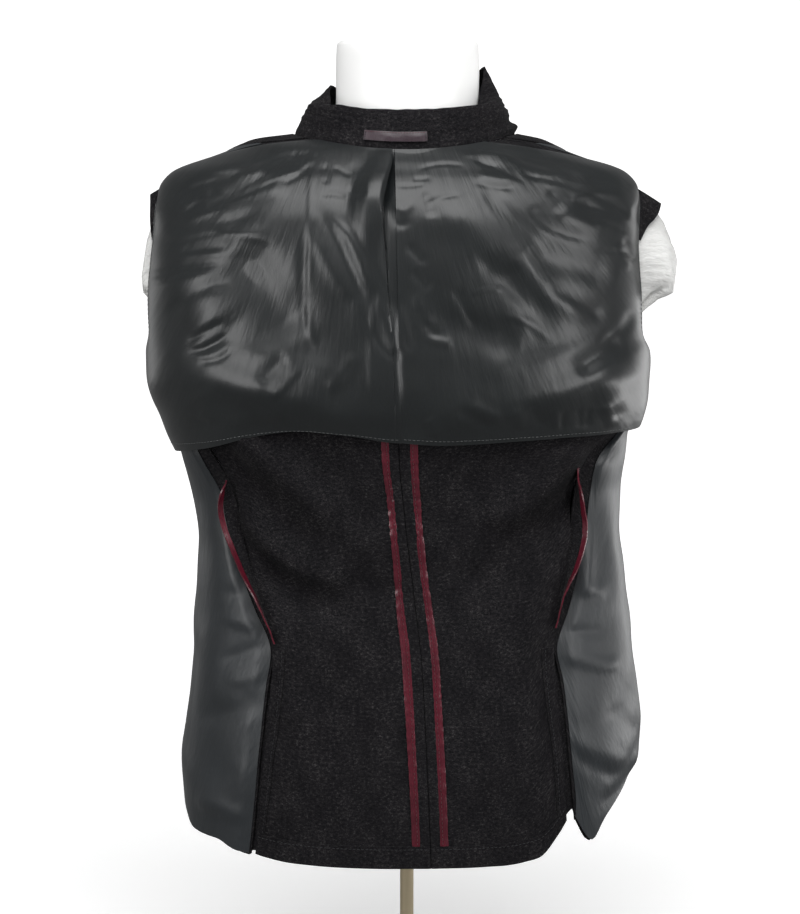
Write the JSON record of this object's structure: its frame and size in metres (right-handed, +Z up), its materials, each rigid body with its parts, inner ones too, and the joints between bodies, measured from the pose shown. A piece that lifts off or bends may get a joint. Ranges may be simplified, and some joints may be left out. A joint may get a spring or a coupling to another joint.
{
  "type": "suit jacket on dress form",
  "caption": "Half-lined tailored jacket turned inside out, with collar, side vents and bound seams, draped on a headless limbless torso form on a pole with a round base.",
  "frame": {"origin": "centre of the base's underside, on the pole's axis", "axes": "+Z up along the pole; +Y the way the wearer faces, so the back of the jacket is towards -Y; +X the wearer's right"},
  "size_m": [0.5655, 0.3047, 1.055],
  "materials": {
    "wool": "brushed melange wool, matte",
    "satin": "slate grey lining satin, soft sheen",
    "binding": "burgundy satin binding",
    "loop_satin": "mauve satin, soft sheen",
    "sleeve_satin": "off-white sleeve lining satin",
    "form_cover": "smooth white cover",
    "base_paint": "white powder coat",
    "brass": "pale brushed brass",
    "horn": "polished dark horn"
  },
  "bodies": {
    "root": {"back_left": "wool", "centre_allowance_left": "wool", "centre_binding_left": "binding", "hem_facing_left": "wool", "vent_facing_left": "wool", "side_left": "wool", "side_lining_left": "satin", "vent_underlap_left": "wool", "side_allowance_left": "wool", "side_binding_left": "binding", "front_left": "wool", "facing_left": "wool", "front_lining_left": "satin", "back_lining_left": "satin", "sleeve_left": "sleeve_satin", "sleeve_head_left": "wool", "back_right": "wool", "centre_allowance_right": "wool", "centre_binding_right": "binding", "hem_facing_right": "wool", "vent_facing_right": "wool", "side_right": "wool", "side_lining_right": "satin", "vent_underlap_right": "wool", "side_allowance_right": "wool", "side_binding_right": "binding", "front_right": "wool", "facing_right": "wool", "front_lining_right": "satin", "back_lining_right": "satin", "sleeve_right": "sleeve_satin", "sleeve_head_right": "wool", "collar": "wool", "hanger_loop": "loop_satin", "button_1": "horn", "button_2": "horn", "torso_form": "form_cover", "form_flange": "brass", "pole": "brass", "pole_socket": "brass", "base": "base_paint"}
  },
  "joints": []
}
